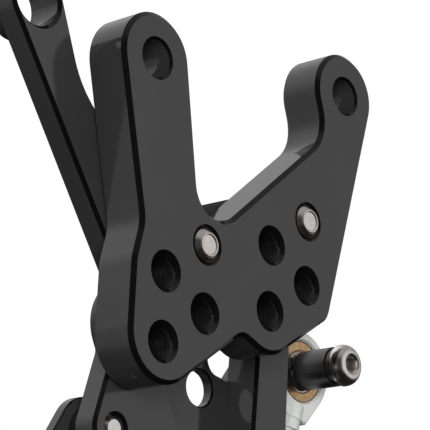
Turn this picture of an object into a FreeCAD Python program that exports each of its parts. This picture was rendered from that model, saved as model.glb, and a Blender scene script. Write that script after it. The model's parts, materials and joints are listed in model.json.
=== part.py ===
import FreeCAD, Part
import math
import os
import re
from types import SimpleNamespace

import Sketcher

# Adjustable rear-set foot peg, left-hand side. Millimetres.
# Origin: centre of the rear ear hole on the inboard face of the frame bracket.
# +X forward along the two ear holes, +Y outboard, +Z up.

SIZES = {
    # frame bracket
    "bracket_thick": 12.0,
    "ear_gap": 69.2,
    "ear_hole_r": 4.5,
    "ear_r": 11.0,
    "ear_bevel": 0.6,
    "edge_bevel": 1.0,
    "tapped_r": 4.0,
    "tapped_bevel": 0.9,
    "bolt_hole_gap": 0.2,
    "boss_wall": 6.2,
    "rear_group_x": -4.2,
    "rear_group_z": -65.1,
    "front_group_x": 33.4,
    "front_group_z": -56.6,
    "across_x": 14.5,
    "across_z": 6.9,
    "up_x": 2.4,
    "up_z": 15.9,
    # hanger plate
    "hanger_thick": 6.0,
    "leg_thick": 9.4,
    "hanger_bevel": 0.8,
    "eye_x": -24.7,
    "eye_z": 12.9,
    "eye_hole_r": 6.3,
    "eye_wall": 1.7,
    "pivot_x": 24.0,
    "pivot_z": -122.0,
    "pivot_boss_r": 15.0,
    # bolts that set the hanger in one pair of tapped holes
    "adjuster_r": 3.95,
    "adjuster_reach": 20.0,
    "adjuster_head_r": 6.5,
    "adjuster_head_high": 8.0,
    "adjuster_key": 3.0,
    "adjuster_washer_r": 8.0,
    "adjuster_washer_thick": 1.35,
    "tip_bevel": 0.9,
    "dome_round": 1.16,
    "dome_sink": 0.93,
    # heel guard and its screws
    "guard_thick": 3.2,
    "guard_bevel": 0.4,
    "lobe_r": 8.0,
    "leg_lobe_r": 6.8,
    "guard_hole_r": 4.45,
    "screw_r": 2.95,
    "screw_hole_r": 3.05,
    "screw_hole_bevel": 0.8,
    "screw_head_r": 5.25,
    "screw_head_high": 3.3,
    "screw_key": 2.0,
    "socket_floor": 0.4,
    "screw_tip_gap": 0.5,
    "guard_spacer_r": 5.5,
    "rear_screw_x": -8.4,
    "rear_screw_z": -83.1,
    "low_screw_x": 5.5,
    "low_screw_z": -103.0,
    "leg_screw_x": 41.4,
    "leg_screw_z": -92.0,
    # pivot stack
    "pivot_bolt_r": 4.95,
    "pivot_hole_r": 5.2,
    "pivot_head_r": 8.75,
    "pivot_head_high": 5.5,
    "pivot_key": 3.0,
    "pivot_engage": 11.7,
    "sleeve_flange_r": 12.0,
    "journal_r": 8.0,
    "bush_gap": 0.05,
    "bush_wall": 2.0,
    "washer_thick": 1.0,
    "washer_r": 13.0,
    "side_gap": 0.1,
    # link ball joint
    "link_x": 69.9,
    "lever_gap": 3.2,
    "link_z": -67.5,
    "ball_r": 6.35,
    "ball_wide": 9.0,
    "ball_bore_r": 3.0,
    "ball_gap": 0.05,
    "race_r": 7.9,
    "race_wide": 6.2,
    "eye_ring_r": 10.35,
    "eye_ring_wide": 7.4,
    "ring_bevel": 0.5,
    "neck_r": 4.5,
    "neck_end": 12.8,
    "collar_r": 4.1,
    "collar_end": 15.5,
    "shank_r": 3.0,
    "shank_end": 36.0,
    "rod_clear": 24.5,
    "rod_span": 110.0,
    "rod_inset": 24.0,
    "rod_flats": 9.0,
    "rod_hole_deep": 14.0,
    "nut_flats": 10.0,
    "nut_thick": 5.0,
    "link_bolt_reach": 32.0,
    "link_spacer_r": 5.0,
    "link_spacer_long": 9.9,
    "link_washer_r": 4.6,
    "link_washer_thick": 2.0,
    "inner_washer_thick": 2.0,
    # gear lever
    "lever_thick": 9.0,
    "lever_bevel": 0.8,
    "hub_r": 14.0,
    "link_end_r": 7.5,
    "toe_x": 134.0,
    "toe_z": -126.0,
    "toe_end_r": 6.5,
    "lug_reach": 12.5,
    "lug_thick": 6.0,
    "lug_wide": 9.0,
    "lug_shift": 5.0,
    "toe_pin_r": 2.5,
    "toe_hole_gap": 0.05,
    # folding toe peg
    "fork_gap": 0.15,
    "fork_arm": 3.5,
    "fork_start": 11.4,
    "fork_end": 15.5,
    "toe_stem_r": 4.0,
    "toe_stem_end": 44.0,
    "toe_sleeve_r": 6.5,
    "toe_sleeve_start": 16.5,
    "toe_groove_deep": 0.8,
    "toe_groove_wide": 2.0,
    "toe_groove_pitch": 5.0,
    "toe_spring_r": 4.7,
    "toe_wire_r": 0.45,
    "toe_spring_turns": 2.0,
    "toe_stem_leg": 9.5,
    "toe_lever_leg": 9.5,
    "toe_cap_rim": 1.4,
    # peg clevis, hinge pin and peg
    "clevis_base_r": 13.0,
    "clevis_base_long": 8.4,
    "clevis_wide": 28.0,
    "clevis_high": 16.0,
    "clevis_floor": 15.4,
    "clevis_slot": 17.4,
    "hinge_reach": 26.4,
    "hinge_pin_r": 4.0,
    "hinge_hole_gap": 0.05,
    "pin_head_r": 6.0,
    "pin_head_thick": 1.5,
    "pin_tail": 2.6,
    "clip_r": 6.2,
    "clip_thick": 1.0,
    "clip_groove_deep": 0.8,
    "tongue_wide": 11.6,
    "tongue_high": 14.0,
    "stop_gap": 0.05,
    "shoulder_at": 11.0,
    "peg_long": 82.0,
    "peg_r": 11.5,
    "peg_rim_r": 12.6,
    "peg_rim_long": 3.0,
    "peg_groove_deep": 1.0,
    "peg_groove_wide": 1.6,
    "peg_groove_pitch": 7.4,
    "plug_r": 10.5,
    "plug_thick": 4.0,
    "plug_screw_deep": 14.0,
    "spring_r": 5.3,
    "spring_wire_r": 0.6,
    "spring_turns": 3.0,
    "cut_margin": 1.0,
}

doc = FreeCAD.newDocument("foot_peg")
sheet = doc.addObject("Spreadsheet::Sheet", "Sheet")
for row, (alias, value) in enumerate(SIZES.items(), start=1):
    sheet.set(f"A{row}", alias)
    sheet.set(f"B{row}", str(value))
    sheet.setAlias(f"B{row}", alias)
doc.recompute()
v = SimpleNamespace(**{alias: float(sheet.get(alias)) for alias in SIZES})

kept = []
X_AXIS = FreeCAD.Vector(1, 0, 0)
Y_AXIS = FreeCAD.Vector(0, 1, 0)
Z_AXIS = FreeCAD.Vector(0, 0, 1)
ALONG = {
    "x": FreeCAD.Rotation(Y_AXIS, 90),
    "y": FreeCAD.Rotation(X_AXIS, -90),
    "z": FreeCAD.Rotation(Z_AXIS, 0),
}


# ---- helpers: expressions, primitives, booleans ----

def bound(text):
    """Write the sheet's name before every alias in an expression."""
    return re.sub(r"[a-z][a-z_]*", lambda m: "Sheet." + m[0] if m[0] in SIZES else m[0], text)


def drive(item, **expressions):
    for name, text in expressions.items():
        item.setExpression(name, bound(text))


def place(item, at, rotation=None):
    """Put a piece at three expressions, turned by an optional rotation."""
    if rotation:
        item.Placement = FreeCAD.Placement(FreeCAD.Vector(0, 0, 0), rotation)
    for name, text in zip("xyz", at):
        item.setExpression("Placement.Base." + name, bound(text))
    return item


def rod(name, radius, length, at=("0", "0", "0"), along="y"):
    item = doc.addObject("Part::Cylinder", name)
    drive(item, Radius=radius, Height=length)
    return place(item, at, ALONG[along])


def cone(name, start, end, length, at=("0", "0", "0"), along="y"):
    item = doc.addObject("Part::Cone", name)
    drive(item, Radius1=start, Radius2=end, Height=length)
    return place(item, at, ALONG[along])


def block(name, size, at):
    item = doc.addObject("Part::Box", name)
    drive(item, Length=size[0], Width=size[1], Height=size[2])
    return place(item, at)


def hexagon(name, flats, length, at=("0", "0", "0"), along="y"):
    """Six-sided prism; flats is half the distance across its flats."""
    item = doc.addObject("Part::Prism", name)
    item.Polygon = 6
    drive(item, Circumradius=f"({flats}) / cos(30 deg)", Height=length)
    return place(item, at, ALONG[along])


def fuse(name, *pieces):
    item = doc.addObject("Part::MultiFuse", name)
    item.Shapes = list(pieces)
    item.Refine = True
    return item


def cut(name, base, tool):
    item = doc.addObject("Part::Cut", name)
    item.Base = base
    item.Tool = tool
    return item


def common(name, first, second):
    item = doc.addObject("Part::MultiCommon", name)
    item.Shapes = [first, second]
    return item


def group(name, pieces):
    item = doc.addObject("Part::Compound", name)
    item.Links = list(pieces)
    return item


def keep(item, label):
    item.Label = label
    kept.append(item)
    return item


def ring(name, outer, inner, length, at=("0", "0", "0"), along="y"):
    solid = rod(name + "_outer", outer, length, along=along)
    hole = rod(name + "_inner", inner, length, along=along)
    return place(cut(name, solid, hole), at)


def button_screw(name, head_r, head_high, key, shank_r, reach, at, faces_inboard):
    """Domed socket-head screw. Its head's seat is at the given point, its shank along Y."""
    dome = doc.addObject("Part::Sphere", name + "_dome")
    drive(dome, Radius=f"{head_r} * dome_round")
    place(dome, ("0", f"{head_high} - {head_r} * dome_round * dome_sink", "0"))
    drum = rod(name + "_drum", head_r, head_high)
    head = common(name + "_head", dome, drum)
    shank = rod(name + "_shank", shank_r, f"{reach} - tip_bevel", ("0", f"tip_bevel - ({reach})", "0"))
    tip = cone(name + "_tip", f"{shank_r} - tip_bevel", shank_r, "tip_bevel", ("0", f"-({reach})", "0"))
    solid = fuse(name + "_solid", head, shank, tip)
    socket = hexagon(name + "_socket", key, head_high, ("0", f"({head_high}) * socket_floor", "0"))
    screw = cut(name, solid, socket)
    rotation = FreeCAD.Rotation(Z_AXIS, 180) if faces_inboard else None
    return place(screw, at, rotation)


def bearing_normal(angle):
    return FreeCAD.Vector(-math.sin(angle), math.cos(angle), 0)


def belt(circles):
    """Closed outline that wraps circles given as (x, z, r), anticlockwise.

    A positive radius bulges outward, a negative one is a hollow, and zero is a sharp corner.
    """
    count = len(circles)
    centres = [FreeCAD.Vector(x, z, 0) for x, z, _ in circles]
    radii = [r for _, _, r in circles]
    headings = []
    for i in range(count):
        step = centres[(i + 1) % count] - centres[i]
        lean = math.asin((radii[(i + 1) % count] - radii[i]) / step.Length)
        headings.append(math.atan2(step.y, step.x) - lean)
    edges = []
    for i in range(count):
        arrive, leave = headings[i - 1], headings[i]
        turn = (leave - arrive) % (2 * math.pi)
        if radii[i] < 0 and turn > 0:
            turn -= 2 * math.pi
        first = centres[i] - bearing_normal(arrive) * radii[i]
        middle = centres[i] - bearing_normal(arrive + turn / 2) * radii[i]
        last = centres[i] - bearing_normal(leave) * radii[i]
        if (last - first).Length > 0.01:
            edges.append(Part.Arc(first, middle, last))
        following = (i + 1) % count
        landing = centres[following] - bearing_normal(leave) * radii[following]
        edges.append(Part.LineSegment(last, landing))
    return edges


def beside(circle, bearing, hollow_r, gap):
    """Hollow that faces a bulging circle at a bearing in degrees, with a gap between the two."""
    x, z, r = circle
    reach = r + hollow_r + gap
    angle = math.radians(bearing)
    return (x + reach * math.cos(angle), z + reach * math.sin(angle), -hollow_r)


def plane_of(body, role):
    return next(item for item in body.Origin.OriginFeatures if item.Role == role)


def plate_body(name, at_y):
    body = doc.addObject("PartDesign::Body", name)
    body.setExpression("Placement.Base.y", bound(at_y))
    doc.recompute()
    return body


def face_sketch(body, name, loops=(), circles=()):
    """Sketch on the body's XZ plane: fixed loops, and circles driven by (x, z, radius) expressions."""
    sketch = body.newObject("Sketcher::SketchObject", name)
    sketch.AttachmentSupport = [(plane_of(body, "XZ_Plane"), "")]
    sketch.MapMode = "FlatFace"
    for loop in loops:
        sketch.addGeometry(loop, False)
    for number, (x, z, radius, guess) in enumerate(circles):
        centre = FreeCAD.Vector(guess[0], guess[1], 0)
        index = sketch.addGeometry(Part.Circle(centre, Z_AXIS, guess[2]), False)
        values = (
            ("DistanceX", (-1, 1, index, 3, guess[0]), "across", x),
            ("DistanceY", (-1, 1, index, 3, guess[1]), "above", z),
            ("Radius", (index, guess[2]), "round", radius),
        )
        for kind, arguments, word, text in values:
            place_number = sketch.addConstraint(Sketcher.Constraint(kind, *arguments))
            label = f"{word}{number}"
            sketch.renameConstraint(place_number, label)
            sketch.setExpression("Constraints." + label, bound(text))
    return sketch


def pad(body, sketch, length, name):
    item = body.newObject("PartDesign::Pad", name)
    item.Profile = sketch
    item.Reversed = True
    drive(item, Length=length)
    doc.recompute()
    return item


def pocket(body, sketch, length, name):
    before = body.Tip.Shape.Volume
    item = body.newObject("PartDesign::Pocket", name)
    item.Profile = sketch
    drive(item, Length=length)
    doc.recompute()
    if item.Shape.Volume >= before:
        raise RuntimeError(f"{name} cuts nothing")
    return item


def bevel(body, test, size, name):
    """Chamfer the edges of the body's last feature that pass a test."""
    last = body.Tip
    picked = [f"Edge{i}" for i, edge in enumerate(last.Shape.Edges, start=1) if test(edge)]
    item = body.newObject("PartDesign::Chamfer", name)
    item.Base = (last, picked)
    drive(item, Size=size)
    doc.recompute()
    return item


def lies_at(edge, level):
    box = edge.BoundBox
    return abs(box.YMin - level) < 0.001 and abs(box.YMax - level) < 0.001


def round_edge(edge, radius):
    curve = edge.Curve
    return isinstance(curve, Part.Circle) and abs(curve.Radius - radius) < 0.001


def is_full_circle(edge):
    return isinstance(edge.Curve, Part.Circle) and len(edge.Vertexes) == 1


# ---- tapped hole pattern shared by the bracket, the hanger and the bolts ----

GROUPS = (("rear_group_x", "rear_group_z"), ("front_group_x", "front_group_z"))


def pattern_hole(group_x, group_z, across, up):
    """Expressions and values for one hole of a tapped group."""
    x = f"{group_x} + {across} * across_x + {up} * up_x"
    z = f"{group_z} + {across} * across_z + {up} * up_z"
    at_x = getattr(v, group_x) + across * v.across_x + up * v.up_x
    at_z = getattr(v, group_z) + across * v.across_z + up * v.up_z
    return x, z, at_x, at_z


tapped = [pattern_hole(gx, gz, across, up) for gx, gz in GROUPS for across in (0, 1) for up in (0, 1)]
used = [pattern_hole(gx, gz, 1, 1) for gx, gz in GROUPS]
rear_used, front_used = used


# ---- frame bracket ----

def frame_bracket():
    """Plate with two ears for the frame bolts and eight tapped holes for setting the hanger."""
    boss_r = v.tapped_r + v.boss_wall
    rear_up = (*pattern_hole(*GROUPS[0], 0, 1)[2:], boss_r)
    low_x, low_z = pattern_hole(*GROUPS[0], 0, 0)[2:]
    rear_low = (low_x + 1.0, low_z + 1.7, boss_r + 1.0)
    front_low = (*pattern_hole(*GROUPS[1], 0, 0)[2:], boss_r)
    front_fore = pattern_hole(*GROUPS[1], 1, 0)
    fore_corner = (front_fore[2] + 5.1, front_fore[3] - 4.6, 4.0)
    outline = belt([
        (0.0, 0.0, v.ear_r),
        beside(rear_up, 141.4, 9.2, 0.8),
        rear_up,
        rear_low,
        beside(front_low, 223.3, 3.5, 0.6),
        front_low,
        fore_corner,
        (v.ear_gap, 0.0, v.ear_r),
        (v.ear_gap - v.ear_r - 9.1, -6.6, -10.0),
        (v.ear_r + 7.9, -28.3, -7.7),
    ])
    body = plate_body("bracket_body", "0")
    circles = [("0", "0", "ear_hole_r", (0.0, 0.0, v.ear_hole_r))]
    circles.append(("ear_gap", "0", "ear_hole_r", (v.ear_gap, 0.0, v.ear_hole_r)))
    circles += [(x, z, "tapped_r", (at_x, at_z, v.tapped_r)) for x, z, at_x, at_z in tapped]
    sketch = face_sketch(body, "bracket_outline", [outline], circles)
    pad(body, sketch, "bracket_thick", "bracket_pad")

    def outer_edge(edge):
        on_face = lies_at(edge, 0) or lies_at(edge, v.bracket_thick)
        return on_face and not is_full_circle(edge)

    bevel(body, lambda e: is_full_circle(e) and round_edge(e, v.ear_hole_r), "ear_bevel", "ear_bevels")
    bevel(body, lambda e: is_full_circle(e) and round_edge(e, v.tapped_r), "tapped_bevel", "tapped_bevels")
    bevel(body, outer_edge, "edge_bevel", "outer_bevel")
    return keep(body, "frame_bracket")


# ---- hanger plate ----

HANGER_FACE = "bracket_thick"
HANGER_BACK = "bracket_thick + hanger_thick"
LEG_BACK = "bracket_thick + leg_thick"
GUARD_BACK = "bracket_thick + leg_thick + guard_thick"


def hanger_plate():
    """Plate behind the bracket: bolt bar, rear arm with an eye, two legs that meet at the pivot boss."""
    eye_r = v.eye_hole_r + v.eye_wall
    bar_r = v.adjuster_head_r + 3.0
    knee = (v.leg_screw_x + 3.5, v.leg_screw_z + 7.5, 6.0)
    hip = (rear_used[2] - 10.8, rear_used[3] - 17.2, 10.5)
    outline = belt([
        (v.eye_x, v.eye_z, eye_r),
        beside(hip, 134.3, 4.0, 0.1),
        hip,
        beside(hip, 205.6, 2.0, 0.1),
        (v.rear_screw_x, v.rear_screw_z, v.lobe_r - 1.3),
        (v.pivot_x, v.pivot_z, v.pivot_boss_r),
        knee,
        (front_used[2], front_used[3], bar_r),
        (rear_used[2] + 0.8, rear_used[3] + 20.6, -10.6),
        (9.7, 5.5, -24.0),
    ])
    window = belt([
        (rear_used[2] - 2.5, rear_used[3] - 16.9, 5.0),
        (v.pivot_x - 2.8, v.pivot_z + 25.0, 4.5),
        (v.pivot_x + 6.9, v.pivot_z + 25.0, 4.5),
        (front_used[2] - 10.7, front_used[3] - 19.1, 5.0),
    ])
    leg = belt([
        (v.pivot_x, v.pivot_z, v.pivot_boss_r),
        knee,
        (front_used[2] - 2.2, front_used[3] - 22.1, 6.2),
    ])
    body = plate_body("hanger_body", HANGER_FACE)
    pad(body, face_sketch(body, "hanger_outline", [outline]), "hanger_thick", "hanger_pad")
    eye = [("eye_x", "eye_z", "eye_hole_r + eye_wall", (v.eye_x, v.eye_z, eye_r))]
    pad(body, face_sketch(body, "leg_outline", [leg], eye), "leg_thick", "leg_pad")
    holes = [
        ("eye_x", "eye_z", "eye_hole_r", (v.eye_x, v.eye_z, v.eye_hole_r)),
        ("pivot_x", "pivot_z", "pivot_hole_r", (v.pivot_x, v.pivot_z, v.pivot_hole_r)),
    ]
    for name in ("rear_screw", "low_screw", "leg_screw"):
        at_x, at_z = getattr(v, name + "_x"), getattr(v, name + "_z")
        holes.append((name + "_x", name + "_z", "screw_hole_r", (at_x, at_z, v.screw_hole_r)))
    for x, z, at_x, at_z in used:
        holes.append((x, z, "tapped_r + bolt_hole_gap", (at_x, at_z, v.tapped_r + v.bolt_hole_gap)))
    pocket(body, face_sketch(body, "hanger_holes", [window], holes), "leg_thick", "hanger_cuts")

    def inboard_outer(edge):
        return lies_at(edge, 0) and not is_full_circle(edge)

    def screw_mouth(edge):
        return lies_at(edge, 0) and is_full_circle(edge) and round_edge(edge, v.screw_hole_r)

    def eye_mouth(edge):
        return lies_at(edge, 0) and is_full_circle(edge) and round_edge(edge, v.eye_hole_r)

    bevel(body, screw_mouth, "screw_hole_bevel", "screw_mouths")
    bevel(body, eye_mouth, "hanger_bevel", "eye_mouth_bevel")
    bevel(body, inboard_outer, "hanger_bevel", "hanger_outer_bevel")
    return keep(body, "hanger_plate")


# ---- bolts and washers that hold the hanger ----

def adjusters():
    bolts = []
    washers = []
    for number, (x, z, _, _) in enumerate(used):
        name = f"adjuster{number}"
        seat = (x, "bracket_thick + hanger_thick + adjuster_washer_thick", z)
        drum = rod(name + "_drum", "adjuster_head_r", "adjuster_head_high - tip_bevel")
        crown_at = ("0", "adjuster_head_high - tip_bevel", "0")
        crown = cone(name + "_crown", "adjuster_head_r", "adjuster_head_r - tip_bevel", "tip_bevel",
                     crown_at)
        shank_at = ("0", "tip_bevel - adjuster_reach", "0")
        shank = rod(name + "_shank", "adjuster_r", "adjuster_reach - tip_bevel", shank_at)
        tip_at = ("0", "-adjuster_reach", "0")
        tip = cone(name + "_tip", "adjuster_r - tip_bevel", "adjuster_r", "tip_bevel", tip_at)
        solid = fuse(name + "_solid", drum, crown, shank, tip)
        socket = hexagon(name + "_socket", "adjuster_key", "adjuster_head_high",
                         ("0", "adjuster_head_high / 2", "0"))
        bolts.append(place(cut(name, solid, socket), seat))
        washers.append(ring(f"washer{number}", "adjuster_washer_r", "tapped_r + bolt_hole_gap",
                            "adjuster_washer_thick", (x, HANGER_BACK, z)))
    keep(group("adjuster_bolt_set", bolts), "adjuster_bolts")
    keep(group("adjuster_washer_set", washers), "adjuster_washers")


# ---- heel guard ----

# lightening holes, counted from the rear screw
GUARD_HOLES = ((39.2, 10.7), (-9.5, -14.0), (-20.0, -25.0), (5.0, -13.5), (29.0, -8.0))


def heel_guard():
    """Thin plate outboard of the hanger, flat on the thick leg and on spacers at the thin one."""
    top_x = v.rear_screw_x + 24.4
    outline = belt([
        (v.rear_screw_x, v.rear_screw_z, v.lobe_r),
        (v.rear_screw_x - 22.6, v.rear_screw_z - 26.9, v.lobe_r),
        (v.low_screw_x, v.low_screw_z, v.lobe_r),
        (v.leg_screw_x, v.leg_screw_z, v.leg_lobe_r),
        (42.0, -77.0, 6.0),
        (38.9, -65.3, -4.2),
        (28.6, -61.0, 6.0),
        (top_x, -62.0, 6.0),
        (v.rear_screw_x + 7.4, v.rear_screw_z + v.lobe_r + 7.1, -7.0),
    ])
    body = plate_body("guard_body", LEG_BACK)
    circles = []
    for offset_x, offset_z in GUARD_HOLES:
        at_x = v.rear_screw_x + offset_x
        at_z = v.rear_screw_z + offset_z
        x = f"rear_screw_x + ({offset_x})"
        z = f"rear_screw_z + ({offset_z})"
        circles.append((x, z, "guard_hole_r", (at_x, at_z, v.guard_hole_r)))
    for name in ("rear_screw", "low_screw", "leg_screw"):
        at_x, at_z = getattr(v, name + "_x"), getattr(v, name + "_z")
        circles.append((name + "_x", name + "_z", "screw_hole_r", (at_x, at_z, v.screw_hole_r)))
    pad(body, face_sketch(body, "guard_outline", [outline], circles), "guard_thick", "guard_pad")
    bevel(body, lambda e: lies_at(e, 0) or lies_at(e, v.guard_thick), "guard_bevel", "guard_bevels")
    return keep(body, "heel_guard")


def guard_fixings():
    spacers = []
    screws = []
    for name in ("rear_screw", "low_screw", "leg_screw"):
        x, z = name + "_x", name + "_z"
        if name != "leg_screw":
            spacers.append(ring(name + "_spacer", "guard_spacer_r", "screw_hole_r",
                                "leg_thick - hanger_thick", (x, HANGER_BACK, z)))
        reach = "leg_thick + guard_thick - screw_tip_gap"
        screws.append(button_screw(name, "screw_head_r", "screw_head_high", "screw_key", "screw_r", reach,
                                   (x, GUARD_BACK, z), False))
    keep(group("guard_spacer_set", spacers), "guard_spacers")
    keep(group("guard_screw_set", screws), "guard_screws")


# ---- pivot stack: bolt, flanged sleeve, bush, washers ----

# the lever clears the guard's screw heads, and the link ball stands inboard of the lever
LEVER_FACE = GUARD_BACK + " + screw_head_high + lever_gap"
LEVER_BACK = LEVER_FACE + " + lever_thick"
CLEVIS_FACE = LEVER_BACK + " + 2 * side_gap + washer_thick"
LINK_Y = LEVER_FACE + " - inner_washer_thick - ball_wide / 2"
lever_face = v.bracket_thick + v.leg_thick + v.guard_thick + v.screw_head_high + v.lever_gap
clevis_face = lever_face + v.lever_thick + 2 * v.side_gap + v.washer_thick
hinge_y = clevis_face + v.hinge_reach


def pivot_stack():
    reach = f"{CLEVIS_FACE} - {HANGER_FACE} + pivot_engage"
    bolt = button_screw("pivot_bolt_raw", "pivot_head_r", "pivot_head_high", "pivot_key", "pivot_bolt_r",
                        reach, ("pivot_x", HANGER_FACE, "pivot_z"), True)
    keep(bolt, "pivot_bolt")
    flange_long = f"{LEVER_FACE} - 2 * side_gap - washer_thick - ({LEG_BACK})"
    sleeve_long = f"{CLEVIS_FACE} - ({LEG_BACK})"
    flange = rod("sleeve_flange", "sleeve_flange_r", flange_long)
    journal = rod("sleeve_journal", "journal_r", sleeve_long)
    bore = rod("sleeve_bore", "pivot_hole_r", sleeve_long)
    sleeve = cut("sleeve_raw", fuse("sleeve_solid", flange, journal), bore)
    keep(place(sleeve, ("pivot_x", LEG_BACK, "pivot_z")), "pivot_sleeve")
    bush = ring("bush_raw", "journal_r + bush_gap + bush_wall", "journal_r + bush_gap", "lever_thick",
                ("pivot_x", LEVER_FACE, "pivot_z"))
    keep(bush, "lever_bush")
    inner_at = ("pivot_x", f"{LEVER_FACE} - side_gap - washer_thick", "pivot_z")
    outer_at = ("pivot_x", f"{LEVER_BACK} + side_gap", "pivot_z")
    washers = [
        ring("thrust_inner", "washer_r", "journal_r + side_gap", "washer_thick", inner_at),
        ring("thrust_outer", "washer_r", "journal_r + side_gap", "washer_thick", outer_at),
    ]
    keep(group("thrust_set", washers), "thrust_washers")


# ---- gear lever ----

def gear_lever():
    """Flat lever on the pivot: a short arm up to the link ball and a long arm forward to the toe peg."""
    outline = belt([
        (v.pivot_x, v.pivot_z, v.hub_r),
        (v.toe_x, v.toe_z, v.toe_end_r),
        (v.pivot_x + 42.0, v.pivot_z + v.hub_r + 9.0, -14.0),
        (v.link_x, v.link_z, v.link_end_r),
    ])
    body = plate_body("lever_body", LEVER_FACE)
    circles = [
        ("pivot_x", "pivot_z", "journal_r + bush_gap + bush_wall",
         (v.pivot_x, v.pivot_z, v.journal_r + v.bush_gap + v.bush_wall)),
        ("link_x", "link_z", "ball_bore_r", (v.link_x, v.link_z, v.ball_bore_r)),
    ]
    pad(body, face_sketch(body, "lever_outline", [outline], circles), "lever_thick", "lever_pad")
    slot_start = (v.pivot_x + 48.0, v.pivot_z - 1.9)
    slot_end = (v.toe_x - 16.0, v.toe_z + 0.35)
    slot = belt([(*slot_start, 3.4), (*slot_end, 2.6)])
    pocket(body, face_sketch(body, "lever_slot", [slot]), "lever_thick", "lever_slot_cut")
    bevel(body, lambda e: lies_at(e, 0) or lies_at(e, v.lever_thick), "lever_bevel", "lever_bevels")

    lug_y = "lug_shift + lug_wide / 2"
    lug_floor = "toe_z - lug_thick / 2"
    bar = body.newObject("PartDesign::AdditiveBox", "lug_bar")
    drive(bar, Length="lug_reach", Width="lug_wide", Height="lug_thick")
    place(bar, ("toe_x", "lug_shift", lug_floor))
    nose = body.newObject("PartDesign::AdditiveCylinder", "lug_nose")
    drive(nose, Radius="lug_wide / 2", Height="lug_thick")
    place(nose, ("toe_x + lug_reach", lug_y, lug_floor))
    hole = body.newObject("PartDesign::SubtractiveCylinder", "lug_hole")
    drive(hole, Radius="toe_pin_r + toe_hole_gap", Height="lug_thick")
    place(hole, ("toe_x + lug_reach", lug_y, lug_floor))
    doc.recompute()
    return keep(body, "gear_lever")


# ---- folding toe peg ----

def toe_peg():
    """Fork on the lever's lug with a stem along Y, built about the toe pivot."""
    pivot = ("toe_x + lug_reach", f"{LEVER_FACE} + lug_shift + lug_wide / 2", "toe_z")
    full_high = "lug_thick + 2 * fork_gap + 2 * fork_arm"
    floor = "-(lug_thick / 2 + fork_gap + fork_arm)"
    slab = block("fork_slab", ("lug_wide", "fork_end", full_high), ("-lug_wide / 2", "0", floor))
    knuckle = rod("fork_knuckle", "lug_wide / 2", full_high, ("0", "0", floor), along="z")
    stem = rod("toe_stem", "toe_stem_r", "toe_stem_end - fork_end", ("0", "fork_end", "0"))
    solid = fuse("toe_solid", slab, knuckle, stem)
    gap_size = ("2 * lug_wide", "lug_wide / 2 + cut_margin + fork_start", "lug_thick + 2 * fork_gap")
    gap_at = ("-lug_wide", "-(lug_wide / 2 + cut_margin)", "-(lug_thick / 2 + fork_gap)")
    slot = block("fork_slot", gap_size, gap_at)
    hole = rod("fork_hole", "toe_pin_r", full_high, ("0", "0", floor), along="z")
    tapped_end = rod("toe_tapped_end", "screw_hole_r", "plug_screw_deep",
                     ("0", "toe_stem_end - plug_screw_deep", "0"))
    keep(place(cut("toe_raw", solid, fuse("toe_cuts", slot, hole, tapped_end)), pivot), "toe_peg")

    long = "toe_stem_end - toe_sleeve_start"
    sleeve = ring("sleeve_plain", "toe_sleeve_r", "toe_stem_r", long, ("0", "toe_sleeve_start", "0"))
    grooves = []
    count = int((v.toe_stem_end - v.toe_sleeve_start - v.toe_groove_wide) // v.toe_groove_pitch)
    for number in range(count):
        at = f"toe_sleeve_start + toe_groove_pitch * {number + 1} - toe_groove_wide / 2"
        grooves.append(ring(f"toe_groove{number}", "toe_sleeve_r + cut_margin",
                            "toe_sleeve_r - toe_groove_deep", "toe_groove_wide", ("0", at, "0")))
    grooved = cut("sleeve_grooved", sleeve, group("toe_groove_set", grooves))
    keep(place(grooved, pivot), "toe_sleeve")

    end_at = (pivot[0], f"{pivot[1]} + toe_stem_end", pivot[2])
    keep(button_screw("toe_screw_raw", "screw_head_r", "screw_head_high", "screw_key", "screw_r",
                      "plug_screw_deep - cut_margin", end_at, False), "toe_end_screw")

    pin_floor = "toe_z - (lug_thick / 2 + fork_gap + fork_arm)"
    pin = rod("toe_pin_shank", "toe_pin_r", full_high, (pivot[0], pivot[1], pin_floor), along="z")
    cap_at = (pivot[0], pivot[1], "toe_z + lug_thick / 2 + fork_gap + fork_arm")
    cap = rod("toe_pin_cap", "toe_pin_r + toe_cap_rim", "pin_head_thick", cap_at, along="z")
    keep(fuse("toe_pin_raw", pin, cap), "toe_pivot_pin")

    # the spring sits on the cap side of the fork, one leg on the stem and one on the lever
    legs = (v.toe_stem_leg, v.toe_lever_leg)
    spring = torsion_spring(v.toe_spring_r, v.toe_wire_r, v.toe_spring_turns, *legs)
    top = v.toe_z + v.lug_thick / 2 + v.fork_gap + v.fork_arm + 2 * v.toe_wire_r
    place_at = FreeCAD.Vector(v.toe_x + v.lug_reach, lever_face + v.lug_shift + v.lug_wide / 2, top)
    item = doc.addObject("Part::Feature", "toe_spring_raw")
    item.Shape = spring
    item.Placement = FreeCAD.Placement(place_at, FreeCAD.Rotation(Z_AXIS, 180))
    keep(item, "toe_spring")


def torsion_spring(coil_r, wire_r, turns, first_leg, second_leg):
    """Coil about Z from height zero, with straight tangent legs towards -X and +Y."""
    pitch = 2 * wire_r + v.side_gap
    helix = Part.makeHelix(pitch, pitch * turns, coil_r)
    start = FreeCAD.Vector(coil_r, 0, 0)
    end = FreeCAD.Vector(coil_r, 0, pitch * turns)
    lead_in = Part.makeLine(start - Y_AXIS * first_leg, start)
    lead_out = Part.makeLine(end, end + Y_AXIS * second_leg)
    spine = Part.Wire([lead_in] + helix.Edges + [lead_out])
    section = Part.Wire([Part.makeCircle(wire_r, start - Y_AXIS * first_leg, Y_AXIS)])
    return spine.makePipeShell([section], True, False)


# ---- link: ball joints, jam nuts and rod ----

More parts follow.
